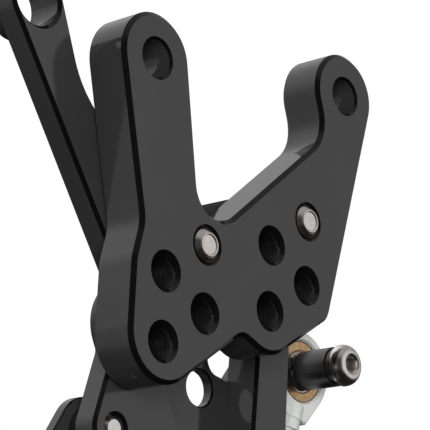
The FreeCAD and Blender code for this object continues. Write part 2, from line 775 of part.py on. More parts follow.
def rod_end(name, rotation, at):
    """Cast eye, neck and threaded shank, built about the ball centre with the shank along -Z."""
    shape = belt([(0.0, 0.0, v.eye_ring_r), (-v.neck_r, -v.neck_end, 0.0), (v.neck_r, -v.neck_end, 0.0)])
    body = doc.addObject("PartDesign::Body", name + "_body")
    doc.recompute()
    circles = [("0", "0", "race_r", (0.0, 0.0, v.race_r))]
    sketch = face_sketch(body, name + "_outline", [shape], circles)
    eye = body.newObject("PartDesign::Pad", name + "_pad")
    eye.Profile = sketch
    eye.Midplane = True
    drive(eye, Length="eye_ring_wide")
    doc.recompute()
    half = v.eye_ring_wide / 2
    bevel(body, lambda e: lies_at(e, half) or lies_at(e, -half), "ring_bevel", name + "_bevel")
    neck_at = ("0", "0", "-neck_end")
    neck = rod(name + "_neck", "neck_r", "neck_end - race_r - cut_margin", neck_at, along="z")
    collar = rod(name + "_collar", "collar_r", "collar_end - neck_end", ("0", "0", "-collar_end"), along="z")
    shank = rod(name + "_shank", "shank_r", "shank_end - collar_end", ("0", "0", "-shank_end"), along="z")
    return place(fuse(name + "_raw", body, neck, collar, shank), at, rotation)


def ball(name, at):
    sphere = doc.addObject("Part::Sphere", name + "_sphere")
    drive(sphere, Radius="ball_r")
    drum = rod(name + "_drum", "ball_r", "ball_wide", ("0", "-ball_wide / 2", "0"))
    bore = rod(name + "_bore", "ball_bore_r", "ball_wide", ("0", "-ball_wide / 2", "0"))
    return place(cut(name + "_raw", common(name + "_round", sphere, drum), bore), at)


def race(name, at):
    drum = rod(name + "_drum", "race_r", "race_wide", ("0", "-race_wide / 2", "0"))
    seat = doc.addObject("Part::Sphere", name + "_seat")
    drive(seat, Radius="ball_r + ball_gap")
    return place(cut(name + "_raw", drum, seat), at)


def link():
    """Rod hanging from the lever's upper arm, with a ball joint at each end."""
    # the rod leans back as far as it can and still pass the pivot boss at the stated distance
    to_pivot = (v.link_x - v.pivot_x, v.link_z - v.pivot_z)
    tilt = math.degrees(math.atan2(*to_pivot) - math.asin(v.rod_clear / math.hypot(*to_pivot)))
    upper = ("link_x", LINK_Y, "link_z")
    lower = (f"link_x - rod_span * sin({tilt} deg)", LINK_Y, f"link_z - rod_span * cos({tilt} deg)")
    down = FreeCAD.Rotation(Y_AXIS, tilt)
    back_up = FreeCAD.Rotation(Y_AXIS, tilt + 180)
    keep(rod_end("upper_end", down, upper), "upper_rod_end")
    keep(rod_end("lower_end", back_up, lower), "lower_rod_end")
    keep(race("upper_race_part", upper), "upper_race")
    keep(race("lower_race_part", lower), "lower_race")
    keep(ball("upper_ball_part", upper), "upper_ball")
    keep(ball("lower_ball_part", lower), "lower_ball")
    for name, height in (("upper", "-rod_inset"), ("lower", "rod_inset - rod_span - nut_thick")):
        nut = hexagon(name + "_nut_hex", "nut_flats / 2", "nut_thick", ("0", "0", height), along="z")
        hole = rod(name + "_nut_hole", "shank_r", "nut_thick", ("0", "0", height), along="z")
        keep(place(cut(name + "_nut_raw", nut, hole), upper, down), name + "_jam_nut")
    low_end = "rod_inset - rod_span"
    bar = hexagon("rod_bar", "rod_flats / 2", "rod_span - 2 * rod_inset", ("0", "0", low_end), along="z")
    top_floor = "-rod_inset - rod_hole_deep"
    top_hole = rod("rod_top_hole", "shank_r", "rod_hole_deep", ("0", "0", top_floor), along="z")
    low_hole = rod("rod_low_hole", "shank_r", "rod_hole_deep", ("0", "0", low_end), along="z")
    holes = fuse("rod_holes", top_hole, low_hole)
    keep(place(cut("shift_rod_raw", bar, holes), upper, down), "shift_rod")


def link_fixings():
    """Inboard of the ball: spacer, washer and bolt head; outboard: a washer against the lever."""
    near_side = LEVER_FACE + " - inner_washer_thick - ball_wide"
    spacer_at = ("link_x", f"{near_side} - link_spacer_long", "link_z")
    spacer = ring("link_spacer_raw", "link_spacer_r", "ball_bore_r", "link_spacer_long", spacer_at)
    keep(spacer, "link_spacer")
    washer_y = f"{near_side} - link_spacer_long - link_washer_thick"
    washer = ring("link_washer_raw", "link_washer_r", "ball_bore_r", "link_washer_thick",
                  ("link_x", washer_y, "link_z"))
    keep(washer, "link_washer")
    inner = ring("inner_washer_raw", "link_spacer_r", "ball_bore_r", "inner_washer_thick",
                 ("link_x", LEVER_FACE + " - inner_washer_thick", "link_z"))
    keep(inner, "link_inner_washer")
    bolt = button_screw("link_bolt_raw", "screw_head_r", "screw_head_high", "screw_key", "screw_r",
                        "link_bolt_reach", ("link_x", washer_y, "link_z"), True)
    keep(bolt, "link_bolt")


# ---- peg clevis, hinge pin and peg ----

HINGE_Y = CLEVIS_FACE + " + hinge_reach"


def peg_clevis():
    """Round base tapped for the pivot bolt, with two ears that carry the hinge pin."""
    base = rod("clevis_base", "clevis_base_r", "clevis_base_long")
    body_size = ("clevis_wide", "hinge_reach - clevis_base_long / 2", "clevis_high")
    body = block("clevis_body", body_size, ("-clevis_wide / 2", "clevis_base_long / 2", "-clevis_high / 2"))
    eye_at = ("-clevis_wide / 2", "hinge_reach", "0")
    eyes = rod("clevis_eyes", "clevis_high / 2", "clevis_wide", eye_at, along="x")
    slot_size = ("clevis_slot", "hinge_reach + clevis_high", "clevis_high + 2 * cut_margin")
    slot_at = ("-clevis_slot / 2", "clevis_floor", "-clevis_high / 2 - cut_margin")
    slot = block("clevis_gap", slot_size, slot_at)
    tapped_hole = rod("clevis_tapped", "pivot_bolt_r", "clevis_floor - 2 * cut_margin")
    pin_hole = rod("clevis_pin_hole", "hinge_pin_r", "clevis_wide", eye_at, along="x")
    cuts = fuse("clevis_cuts", slot, tapped_hole)
    solid = fuse("clevis_solid", base, body, eyes)
    raw = cut("clevis_raw", cut("clevis_rough", solid, cuts), pin_hole)
    keep(place(raw, ("pivot_x", CLEVIS_FACE, "pivot_z")), "peg_clevis")


def hinge_pin():
    head_at = ("-clevis_wide / 2 - pin_head_thick", "0", "0")
    head = rod("pin_head", "pin_head_r", "pin_head_thick", head_at, along="x")
    shank_at = ("-clevis_wide / 2", "0", "0")
    shank = rod("pin_shank", "hinge_pin_r", "clevis_wide + pin_tail", shank_at, along="x")
    groove_at = ("clevis_wide / 2 + side_gap", "0", "0")
    groove = ring("pin_groove", "hinge_pin_r + cut_margin", "hinge_pin_r - clip_groove_deep", "clip_thick",
                  groove_at, along="x")
    at = ("pivot_x", HINGE_Y, "pivot_z")
    keep(place(cut("pin_raw", fuse("pin_solid", head, shank), groove), at), "hinge_pin")
    plate = ring("clip_plate", "clip_r", "hinge_pin_r - clip_groove_deep", "clip_thick", groove_at,
                 along="x")
    mouth_size = ("clip_thick + 2 * cut_margin", "clip_r", "hinge_pin_r")
    mouth_at = ("clevis_wide / 2 - cut_margin", "0", "-hinge_pin_r / 2")
    mouth = block("clip_mouth", mouth_size, mouth_at)
    keep(place(cut("clip_raw", plate, mouth), at), "pin_clip")


def foot_peg():
    """Round grooved peg with a flat tongue that turns on the hinge pin and stops on the clevis floor."""
    reach = v.hinge_reach - v.clevis_floor - v.stop_gap
    tongue_long = "shoulder_at + cut_margin + hinge_reach - clevis_floor - stop_gap"
    tongue_left = "clevis_slot / 2 - side_gap - tongue_wide"
    tongue_size = ("tongue_wide", tongue_long, "tongue_high")
    tongue_at = (tongue_left, "clevis_floor + stop_gap - hinge_reach", "-tongue_high / 2")
    tongue = block("peg_tongue", tongue_size, tongue_at)
    # above the pin the tongue's inner corner is rounded about the pin, so that it can turn upwards
    corner_size = ("tongue_wide + 2 * cut_margin", "hinge_reach - clevis_floor", "tongue_high")
    corner_at = (tongue_left + " - cut_margin", "clevis_floor - hinge_reach - cut_margin", "0")
    corner = block("peg_corner", corner_size, corner_at)
    round_at = (tongue_left + " - 2 * cut_margin", "0", "0")
    keep_round = rod("peg_corner_round", "hinge_reach - clevis_floor - stop_gap",
                     "tongue_wide + 4 * cut_margin", round_at, along="x")
    shaped = cut("peg_tongue_shaped", tongue, cut("peg_corner_cut", corner, keep_round))
    barrel = rod("peg_barrel", "peg_r", "peg_long", ("0", "shoulder_at", "0"))
    collar = rod("peg_collar", "peg_rim_r", "peg_rim_long", ("0", "shoulder_at", "0"))
    rim = rod("peg_rim", "peg_rim_r", "peg_rim_long", ("0", "shoulder_at + peg_long - peg_rim_long", "0"))
    solid = fuse("peg_solid", shaped, barrel, collar, rim)
    grooves = []
    count = int((v.peg_long - 2 * v.peg_rim_long) // v.peg_groove_pitch)
    for number in range(count):
        at = f"shoulder_at + peg_rim_long + peg_groove_pitch * ({number} + 0.5)"
        grooves.append(ring(f"peg_groove{number}", "peg_r + cut_margin", "peg_r - peg_groove_deep",
                            "peg_groove_wide", ("0", at, "0")))
    pin_hole = rod("peg_pin_hole", "hinge_pin_r + hinge_hole_gap", "clevis_wide",
                   ("-clevis_wide / 2", "0", "0"), along="x")
    plug_hole = rod("peg_plug_hole", "screw_hole_r", "plug_screw_deep",
                    ("0", "shoulder_at + peg_long - plug_screw_deep", "0"))
    cuts = group("peg_cuts", grooves + [pin_hole, plug_hole])
    at = ("pivot_x", HINGE_Y, "pivot_z")
    keep(place(cut("peg_raw", solid, cuts), at), "foot_peg")

    end = f"{HINGE_Y} + shoulder_at + peg_long"
    plug = ring("plug_raw", "plug_r", "screw_hole_r", "plug_thick", ("pivot_x", end, "pivot_z"))
    keep(plug, "peg_end_plug")
    screw_seat = ("pivot_x", f"{end} + plug_thick", "pivot_z")
    screw = button_screw("peg_end_raw", "screw_head_r", "screw_head_high", "screw_key", "screw_r",
                         "plug_screw_deep + plug_thick - cut_margin", screw_seat, False)
    keep(screw, "peg_end_screw")

    # coil in the gap beside the tongue: one leg on the clevis floor, one on the peg's shoulder
    inner_leg = reach - v.spring_wire_r - v.side_gap
    outer_leg = v.shoulder_at - v.spring_wire_r - v.side_gap
    item = doc.addObject("Part::Feature", "peg_spring_raw")
    item.Shape = torsion_spring(v.spring_r, v.spring_wire_r, v.spring_turns, inner_leg, outer_leg)
    pitch_room = v.clevis_slot - v.tongue_wide - 2 * v.side_gap
    coil_long = (2 * v.spring_wire_r + v.side_gap) * v.spring_turns
    left = v.pivot_x - v.clevis_slot / 2 + (pitch_room - coil_long) / 2
    spring_at = FreeCAD.Vector(left, hinge_y, v.pivot_z)
    item.Placement = FreeCAD.Placement(spring_at, FreeCAD.Rotation(Y_AXIS, 90))
    keep(item, "peg_spring")


frame_bracket()
hanger_plate()
adjusters()
heel_guard()
guard_fixings()
pivot_stack()
gear_lever()
toe_peg()
link()
link_fixings()
peg_clevis()
hinge_pin()
foot_peg()

doc.recompute()
for item in doc.Objects:
    if "Invalid" in item.State or "Error" in item.State:
        raise RuntimeError(f"{item.Name} failed: {item.State}")
for item in kept:
    if item.Shape.isNull() or not item.Shape.isValid():
        raise RuntimeError(f"{item.Label} has no valid shape")

os.makedirs("parts", exist_ok=True)
for item in kept:
    item.Shape.exportStep(f"parts/{item.Label}.step")
print(f"{len(kept)} pieces written")
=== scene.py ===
import json
import math

import bpy
from mathutils import Matrix, Vector


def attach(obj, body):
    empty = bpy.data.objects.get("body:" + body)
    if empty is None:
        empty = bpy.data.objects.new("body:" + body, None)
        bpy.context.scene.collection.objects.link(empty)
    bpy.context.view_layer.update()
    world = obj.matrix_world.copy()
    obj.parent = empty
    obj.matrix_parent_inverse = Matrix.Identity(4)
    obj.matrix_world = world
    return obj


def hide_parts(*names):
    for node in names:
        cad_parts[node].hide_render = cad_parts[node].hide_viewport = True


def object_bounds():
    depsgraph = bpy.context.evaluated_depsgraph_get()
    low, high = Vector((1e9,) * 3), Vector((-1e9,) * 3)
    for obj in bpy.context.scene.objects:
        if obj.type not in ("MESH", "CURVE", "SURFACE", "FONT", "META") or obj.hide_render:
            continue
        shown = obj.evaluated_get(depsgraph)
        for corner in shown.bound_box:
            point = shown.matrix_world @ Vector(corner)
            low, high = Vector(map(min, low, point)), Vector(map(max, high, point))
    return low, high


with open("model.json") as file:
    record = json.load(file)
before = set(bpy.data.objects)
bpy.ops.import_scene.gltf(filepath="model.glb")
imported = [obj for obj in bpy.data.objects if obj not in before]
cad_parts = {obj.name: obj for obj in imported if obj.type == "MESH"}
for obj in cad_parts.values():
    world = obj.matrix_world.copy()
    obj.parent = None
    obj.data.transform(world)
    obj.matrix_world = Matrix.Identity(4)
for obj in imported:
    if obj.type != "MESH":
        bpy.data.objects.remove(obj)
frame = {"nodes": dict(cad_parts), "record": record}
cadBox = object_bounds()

mm = 0.001


# camera, at the height of the lower bracket edge, looking slightly up at the inboard side
cameraSetup = {
    "place": (-0.33119, -0.30204, -0.11428),
    "right": (0.66353, -0.74509, -0.06753),
    "up": (-0.08279, -0.16284, 0.98317),
    "ahead": (0.74355, 0.64678, 0.16973),
    "lens": 169.57,
    "sensor": 36.0,
}


def addCamera(setup):
    data = bpy.data.cameras.new("camera")
    data.lens = setup["lens"]
    data.sensor_width = setup["sensor"]
    data.clip_start = 0.01
    camera = bpy.data.objects.new("camera", data)
    bpy.context.scene.collection.objects.link(camera)
    columns = Matrix((setup["right"], setup["up"], [-a for a in setup["ahead"]])).transposed()
    camera.matrix_world = Matrix.Translation(setup["place"]) @ columns.to_4x4()
    bpy.context.scene.camera = camera


# studio: a tent of soft light that is dark where the camera stands, a pale floor and soft boxes
studio = {
    "floorDrop": 0.03,  # below the lowest point of the link rod
    "floorSize": 3.0,
    "floorTone": (0.80, 0.80, 0.79),
    "backdropPower": 1.05,
    "tentTone": (1.0, 0.985, 1.0),
    "tentPower": 0.30,
    "darkSide": (-0.66, -0.73, 0.15),  # the unlit side of the room
    "darkFrom": 0.70,
    "darkTo": 0.95,
    "darkLeft": 0.14,
    "below": (0.0, 0.0, -1.0),
    "belowFrom": 0.05,
    "belowTo": 0.45,
    "belowLeft": 0.04,
}

# brighter parts of the tent: towards, edge of the glow and its core as cosines, strength
tentGlows = [
    ((-0.05, 0.65, 0.72), 0.60, 0.97, 0.62),  # above and behind
    ((-0.80, 0.58, 0.15), 0.60, 0.98, 0.05),  # behind, past the rear arm
    ((0.50, -0.86, -0.05), 0.70, 0.98, 0.35),  # beside the camera, low
]

softBoxes = [
    # name, place, looks at, width, height, watts, mirrored in the glossy faces
    ("topBox", (0.10, 0.25, 0.75), (0.03, 0.02, -0.05), 0.6, 0.5, 1.2, False),
    ("keyBox", (-0.56, -0.62, -0.02), (0.0, 0.0, -0.06), 0.5, 0.5, 8.5, False),
]


def addWorld(setup, glows):
    world = bpy.data.worlds.new("studioTent")
    bpy.context.scene.world = world
    world.use_nodes = True
    nodes, links = world.node_tree.nodes, world.node_tree.links
    nodes.clear()
    coords = nodes.new("ShaderNodeTexCoord")

    def lobe(towards, edge, core, outside, inside):
        dot = nodes.new("ShaderNodeVectorMath")
        dot.operation = "DOT_PRODUCT"
        dot.inputs[1].default_value = Vector(towards).normalized()
        links.new(coords.outputs["Generated"], dot.inputs[0])
        fade = nodes.new("ShaderNodeMapRange")
        fade.interpolation_type = "SMOOTHSTEP"
        fade.inputs["From Min"].default_value = edge
        fade.inputs["From Max"].default_value = core
        fade.inputs["To Min"].default_value = outside
        fade.inputs["To Max"].default_value = inside
        links.new(dot.outputs["Value"], fade.inputs["Value"])
        return fade.outputs["Result"]

    def join(kind, first, second):
        node = nodes.new("ShaderNodeMath")
        node.operation = kind
        for socket, value in zip(node.inputs, (first, second)):
            if isinstance(value, float):
                socket.default_value = value
            else:
                links.new(value, socket)
        return node.outputs[0]

    power = setup["tentPower"]
    for towards, edge, core, strength in glows:
        power = join("ADD", power, lobe(towards, edge, core, 0.0, strength))
    dark = lobe(setup["darkSide"], setup["darkFrom"], setup["darkTo"], 1.0, setup["darkLeft"])
    below = lobe(setup["below"], setup["belowFrom"], setup["belowTo"], 1.0, setup["belowLeft"])
    dark = join("MULTIPLY", dark, below)
    tent = nodes.new("ShaderNodeBackground")
    tent.inputs["Color"].default_value = (*setup["tentTone"], 1)
    links.new(join("MULTIPLY", power, dark), tent.inputs["Strength"])
    backdrop = nodes.new("ShaderNodeBackground")
    backdrop.inputs["Color"].default_value = (1, 1, 1, 1)
    backdrop.inputs["Strength"].default_value = setup["backdropPower"]
    path = nodes.new("ShaderNodeLightPath")
    mix = nodes.new("ShaderNodeMixShader")
    links.new(path.outputs["Is Camera Ray"], mix.inputs["Fac"])
    links.new(tent.outputs[0], mix.inputs[1])
    links.new(backdrop.outputs[0], mix.inputs[2])
    output = nodes.new("ShaderNodeOutputWorld")
    links.new(mix.outputs[0], output.inputs["Surface"])


def addSoftBoxes(boxes):
    for name, place, target, width, height, watts, mirrored in boxes:
        data = bpy.data.lights.new(name, "AREA")
        data.shape = "RECTANGLE"
        data.size, data.size_y, data.energy = width, height, watts
        box = bpy.data.objects.new(name, data)
        box.location = place
        box.rotation_euler = (Vector(target) - Vector(place)).to_track_quat("-Z", "Y").to_euler()
        box.visible_glossy = mirrored
        bpy.context.scene.collection.objects.link(box)


def addFloor(setup, box):
    half = setup["floorSize"] / 2
    level = box[0][2] - setup["floorDrop"]
    corners = [(-half, -half, level), (half, -half, level), (half, half, level), (-half, half, level)]
    mesh = bpy.data.meshes.new("floor")
    mesh.from_pydata(corners, [], [(0, 1, 2, 3)])
    floor = bpy.data.objects.new("floor", mesh)
    bpy.context.scene.collection.objects.link(floor)
    paper = bpy.data.materials.new("paleFloor")
    paper.use_nodes = True
    shader = paper.node_tree.nodes["Principled BSDF"]
    shader.inputs["Base Color"].default_value = (*setup["floorTone"], 1)
    shader.inputs["Roughness"].default_value = 0.8
    mesh.materials.append(paper)
    floor.visible_diffuse = floor.visible_glossy = False


addCamera(cameraSetup)
addWorld(studio, tentGlows)
addSoftBoxes(softBoxes)
addFloor(studio, cadBox)
bpy.context.scene.view_settings.view_transform = "Standard"
print("studio and camera ready")


# finishes; every size in them is in metres
def newFinish(name, colour, metallic, roughness, **sockets):
    material = bpy.data.materials.new(name)
    material.use_nodes = True
    shader = material.node_tree.nodes["Principled BSDF"]
    shader.inputs["Base Color"].default_value = (*colour, 1)
    shader.inputs["Metallic"].default_value = metallic
    shader.inputs["Roughness"].default_value = roughness
    for socket, value in sockets.items():
        shader.inputs[socket.replace("_", " ")].default_value = value
    return material


def noiseNode(material, size, detail=3.0, stretch=(1, 1, 1)):
    nodes, links = material.node_tree.nodes, material.node_tree.links
    coords = nodes.new("ShaderNodeTexCoord")
    mapping = nodes.new("ShaderNodeMapping")
    mapping.inputs["Scale"].default_value = stretch
    noise = nodes.new("ShaderNodeTexNoise")
    noise.inputs["Scale"].default_value = 1 / size
    noise.inputs["Detail"].default_value = detail
    links.new(coords.outputs["Object"], mapping.inputs["Vector"])
    links.new(mapping.outputs["Vector"], noise.inputs["Vector"])
    return noise


noiseLow, noiseHigh = 0.3, 0.7  # where most values of a noise texture lie


def varyTone(material, noise, dark, light):
    nodes, links = material.node_tree.nodes, material.node_tree.links
    ramp = nodes.new("ShaderNodeValToRGB")
    ramp.color_ramp.elements[0].position = noiseLow
    ramp.color_ramp.elements[1].position = noiseHigh
    ramp.color_ramp.elements[0].color = (*dark, 1)
    ramp.color_ramp.elements[1].color = (*light, 1)
    links.new(noise.outputs["Fac"], ramp.inputs["Fac"])
    links.new(ramp.outputs["Color"], nodes["Principled BSDF"].inputs["Base Color"])


def varyRoughness(material, noise, low, high):
    nodes, links = material.node_tree.nodes, material.node_tree.links
    band = nodes.new("ShaderNodeMapRange")
    band.inputs["From Min"].default_value = noiseLow
    band.inputs["From Max"].default_value = noiseHigh
    band.inputs["To Min"].default_value = low
    band.inputs["To Max"].default_value = high
    links.new(noise.outputs["Fac"], band.inputs["Value"])
    links.new(band.outputs["Result"], nodes["Principled BSDF"].inputs["Roughness"])


def addBump(material, noise, height):
    nodes, links = material.node_tree.nodes, material.node_tree.links
    bump = nodes.new("ShaderNodeBump")
    bump.inputs["Distance"].default_value = height
    bump.inputs["Strength"].default_value = 1.0
    links.new(noise.outputs["Fac"], bump.inputs["Height"])
    links.new(bump.outputs["Normal"], nodes["Principled BSDF"].inputs["Normal"])


def mottle(material, spec, detail):
    # patches that differ a little in tone and shine
    cloud = noiseNode(material, spec["cloud"], detail)
    varyTone(material, cloud, spec["dark"], spec["light"])
    varyRoughness(material, cloud, spec["smooth"], spec["rough"])
    return cloud


anodised = {
    "dark": (0.030, 0.029, 0.030),
    "light": (0.036, 0.035, 0.036),
    "edge": (0.003, 0.003, 0.003),  # painted shade: the bevels are painted a deeper black, standing in for the dark reflections they show
    "bevelLean": 0.707,
    "bevelSpread": 0.15,
    "smooth": 0.07,
    "rough": 0.11,
    "cloud": 0.02,
    "grain": 0.0002,
    "grainHeight": 0.0000008,
}


def paintShadeOnBevels(material, spec):
    # painted shade: bevels, the faces that lean about halfway between the plate's face and its sides,
    # are painted a deeper black for the dark reflections they show
    nodes, links = material.node_tree.nodes, material.node_tree.links
    shader = nodes["Principled BSDF"]
    coords = nodes.new("ShaderNodeTexCoord")
    split = nodes.new("ShaderNodeSeparateXYZ")
    links.new(coords.outputs["Normal"], split.inputs[0])
    lean = nodes.new("ShaderNodeMath")
    lean.operation = "ABSOLUTE"
    links.new(split.outputs["Y"], lean.inputs[0])
    bevelShadeMask = nodes.new("ShaderNodeMath")
    bevelShadeMask.operation = "COMPARE"
    bevelShadeMask.inputs[1].default_value = spec["bevelLean"]
    bevelShadeMask.inputs[2].default_value = spec["bevelSpread"]
    links.new(lean.outputs[0], bevelShadeMask.inputs[0])
    mix = nodes.new("ShaderNodeMix")
    mix.data_type = "RGBA"
    colour = shader.inputs["Base Color"].links[0].from_socket
    for link in list(shader.inputs["Base Color"].links):
        links.remove(link)
    links.new(bevelShadeMask.outputs[0], mix.inputs["Factor"])
    links.new(colour, mix.inputs[6])
    mix.inputs[7].default_value = (*spec["edge"], 1)
    links.new(mix.outputs[2], shader.inputs["Base Color"])


def anodisedBlack(spec):
    material = newFinish("anodisedBlack", spec["dark"], 0.0, 0.27, IOR=1.5)
    cloud = noiseNode(material, spec["cloud"], 4.0)
    varyTone(material, cloud, spec["dark"], spec["light"])
    paintShadeOnBevels(material, spec)
    varyRoughness(material, cloud, spec["smooth"], spec["rough"])
    addBump(material, noiseNode(material, spec["grain"], 2.0, (0.15, 1, 1)), spec["grainHeight"])
    return material


turnedSteel = {
    "dark": (0.80, 0.75, 0.70),
    "light": (0.98, 0.94, 0.88),
    "smooth": 0.18,
    "rough": 0.30,
    "cloud": 0.0015,
    "grain": 0.00025,
    "grainHeight": 0.000004,
}


def stainlessSteel(spec):
    material = newFinish("stainlessSteel", spec["light"], 1.0, 0.22)
    mottle(material, spec, 3.0)
    addBump(material, noiseNode(material, spec["grain"], 2.0), spec["grainHeight"])
    return material


castZinc = {
    "dark": (0.80, 0.83, 0.80),
    "light": (0.97, 0.99, 0.96),
    "smooth": 0.30,
    "rough": 0.5,
    "cloud": 0.0009,
    "grainHeight": 0.00012,
}


def zincPlate(spec):
    material = newFinish("zincPlate", spec["light"], 0.35, 0.4)
    addBump(material, mottle(material, spec, 3.0), spec["grainHeight"])
    return material


raceBronze = {
    "dark": (0.50, 0.32, 0.15),
    "light": (0.82, 0.57, 0.30),
    "smooth": 0.28,
    "rough": 0.42,
    "cloud": 0.0012,
    "grain": 0.0003,
    "grainHeight": 0.000006,
}


def bearingBronze(spec):
    material = newFinish("bearingBronze", spec["light"], 1.0, 0.35)
    mottle(material, spec, 3.0)
    addBump(material, noiseNode(material, spec["grain"], 2.0), spec["grainHeight"])
    return material


ballSteel = {
    "dark": (0.62, 0.58, 0.57),
    "light": (0.78, 0.75, 0.74),
    "smooth": 0.06,
    "rough": 0.12,
    "cloud": 0.003,
}


def polishedSteel(spec):
    material = newFinish("polishedSteel", spec["light"], 1.0, 0.08)
    mottle(material, spec, 2.0)
    return material


oxideSteel = {
    "dark": (0.006, 0.006, 0.007),
    "light": (0.011, 0.011, 0.012),
    "smooth": 0.22,
    "rough": 0.32,
    "cloud": 0.002,
    "grain": 0.0003,
    "grainHeight": 0.000004,
}


def blackOxide(spec):
    material = newFinish("blackOxide", spec["dark"], 0.0, 0.26, IOR=1.7)
    mottle(material, spec, 3.0)
    addBump(material, noiseNode(material, spec["grain"], 2.0, (1, 0.1, 1)), spec["grainHeight"])
    return material


drawnWire = {
    "dark": (0.25, 0.25, 0.26),
    "light": (0.42, 0.42, 0.43),
    "smooth": 0.25,
    "rough": 0.38,
    "cloud": 0.0008,
}


def springSteel(spec):
    material = newFinish("springSteel", spec["light"], 1.0, 0.3)
    mottle(material, spec, 3.0)
    return material


gripRubber = {
    "dark": (0.010, 0.010, 0.010),
    "light": (0.020, 0.020, 0.020),
    "smooth": 0.62,
    "rough": 0.8,
    "cloud": 0.004,
    "grain": 0.0004,
    "grainHeight": 0.00002,
}


def blackRubber(spec):
    material = newFinish("blackRubber", spec["dark"], 0.0, 0.7)
    mottle(material, spec, 4.0)
    addBump(material, noiseNode(material, spec["grain"], 3.0), spec["grainHeight"])
    return material


mouldedPlastic = {
    "dark": (0.012, 0.012, 0.013),
    "light": (0.020, 0.020, 0.021),
    "smooth": 0.42,
    "rough": 0.55,
    "cloud": 0.003,
    "grain": 0.0005,
    "grainHeight": 0.00001,
}


def blackPlastic(spec):
    material = newFinish("blackPlastic", spec["dark"], 0.0, 0.5)
    mottle(material, spec, 3.0)
    addBump(material, noiseNode(material, spec["grain"], 2.0), spec["grainHeight"])
    return material


finishes = {
    "black_anodised": anodisedBlack(anodised),
    "stainless": stainlessSteel(turnedSteel),
    "zinc_plate": zincPlate(castZinc),
    "bronze": bearingBronze(raceBronze),
    "polished_steel": polishedSteel(ballSteel),
    "black_steel": blackOxide(oxideSteel),
    "spring_steel": springSteel(drawnWire),
    "black_rubber": blackRubber(gripRubber),
    "black_plastic": blackPlastic(mouldedPlastic),
}

for subpart in frame["record"]["subparts"]:
    node = frame["nodes"][subpart["node"]]
    node.data.materials.clear()
    node.data.materials.append(finishes[subpart["material_slot"]])
print("finishes on the machined pieces")


def addPiece(name, points, faces, body, slot, smooth=True):
    mesh = bpy.data.meshes.new(name)
    mesh.from_pydata(points, [], faces)
    mesh.validate()
    mesh.update()
    mesh.materials.append(finishes[slot])
    piece = bpy.data.objects.new(name, mesh)
    bpy.context.scene.collection.objects.link(piece)
    if smooth:
        mesh.shade_smooth()
    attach(piece, body)
    return piece


def aroundAxis(spec, radius, angle, along):
    # a point about an outboard axis, from millimetres
    x = spec["axisX"] + radius * math.cos(angle)
    z = spec["axisZ"] + radius * math.sin(angle)
    return Vector((x, along, z)) * mm


def sweepProfile(sections, closed=False):
    # joins equal rings of points into a skin; an open run gets an end cap at each end
    points = [point for section in sections for point in section]
    count = len(sections[0])
    faces = []
    runs = len(sections) if closed else len(sections) - 1
    for i in range(runs):
        j = (i + 1) % len(sections)
        for k in range(count):
            n = (k + 1) % count
            faces.append((i * count + k, i * count + n, j * count + n, j * count + k))
    if not closed:
        faces.append(tuple(range(count - 1, -1, -1)))
        last = (len(sections) - 1) * count
        faces.append(tuple(range(last, last + count)))
    return points, faces


latheSteps = 48


def lathe(rings, body, name, slot, origin):
    # turns (distance, radius) pairs about an outboard axis through a point; the run closes on itself
    along = Vector((0, 1, 0))
    side = along.orthogonal().normalized()
    other = along.cross(side)
    sections = []
    for i in range(latheSteps):
        angle = 2 * math.pi * i / latheSteps
        out = side * math.cos(angle) + other * math.sin(angle)
        sections.append([(Vector(origin) + along * d + out * r) * mm for d, r in rings])
    points, faces = sweepProfile(sections, closed=True)
    addPiece(name, points, faces, body, slot)


# thread ridges left standing in the open tapped holes
tappedHole = {
    "rows": [(-4.2, -65.1), (33.4, -56.6)],  # first hole of the rear and of the front group
    "across": (14.5, 6.9),
    "up": (2.4, 15.9),
    "wall": 4.02,
    "crest": 3.5,
    "pitch": 1.25,
    "rootHalf": 0.44,  # half widths of the ridge, in pitches
    "crestHalf": 0.07,
    "from": 1.0,
    "to": 11.0,
    "steps": 28,  # around one turn
    "runIn": 10,  # steps in which the ridge rises at each end
    "least": 0.05,
}


# painted shade: the ridges are painted near black, darker than the anodised plate, for the shade deep
# inside the tapped holes
threadShadeTone = {"tone": (0.004, 0.004, 0.0042), "rough": 0.3, "grain": 0.0003, "grainHeight": 0.000003}


def threadShadeFinish(spec):
    material = newFinish("threadShadeFinish", spec["tone"], 0.0, spec["rough"], IOR=1.5)
    addBump(material, noiseNode(material, spec["grain"]), spec["grainHeight"])
    return material


def threadRidge(centre, spec):
    cx, cz = centre
    turns = (spec["to"] - spec["from"]) / spec["pitch"]
    total = int(turns * spec["steps"])
    rootHalf, crestHalf = spec["rootHalf"], spec["crestHalf"]
    sections = []
    for i in range(total + 1):
        angle = 2 * math.pi * i / spec["steps"]
        y = spec["from"] + spec["pitch"] * i / spec["steps"]
        fade = min(1.0, i / spec["runIn"], (total - i) / spec["runIn"])
        wall = spec["wall"]
        crest = wall + (spec["crest"] - wall) * max(fade, spec["least"])
        ring = []
        corners = [(wall, -rootHalf), (crest, -crestHalf), (crest, crestHalf), (wall, rootHalf)]
        for radius, shift in corners:
            along = y + shift * spec["pitch"]
            x = cx + radius * math.cos(angle)
            z = cz + radius * math.sin(angle)
            ring.append(Vector((x, along, z)) * mm)
        sections.append(ring)
    return sweepProfile(sections)


def tapHoles(spec):
    # painted shade: the ridges take the near-black finish that stands for the shade in the holes
    black = threadShadeFinish(threadShadeTone)
    number = 0
    for row in spec["rows"]:
        for a, u in ((0, 0), (0, 1), (1, 0)):
            x = row[0] + a * spec["across"][0] + u * spec["up"][0]
            z = row[1] + a * spec["across"][1] + u * spec["up"][1]
            points, faces = threadRidge((x, z), spec)
            number += 1
            name = f"tapped_thread_{number}"
            ridge = addPiece(name, points, faces, "root", "black_anodised", smooth=False)
            ridge.data.materials[0] = black


tapHoles(tappedHole)
print("threads in the open holes")


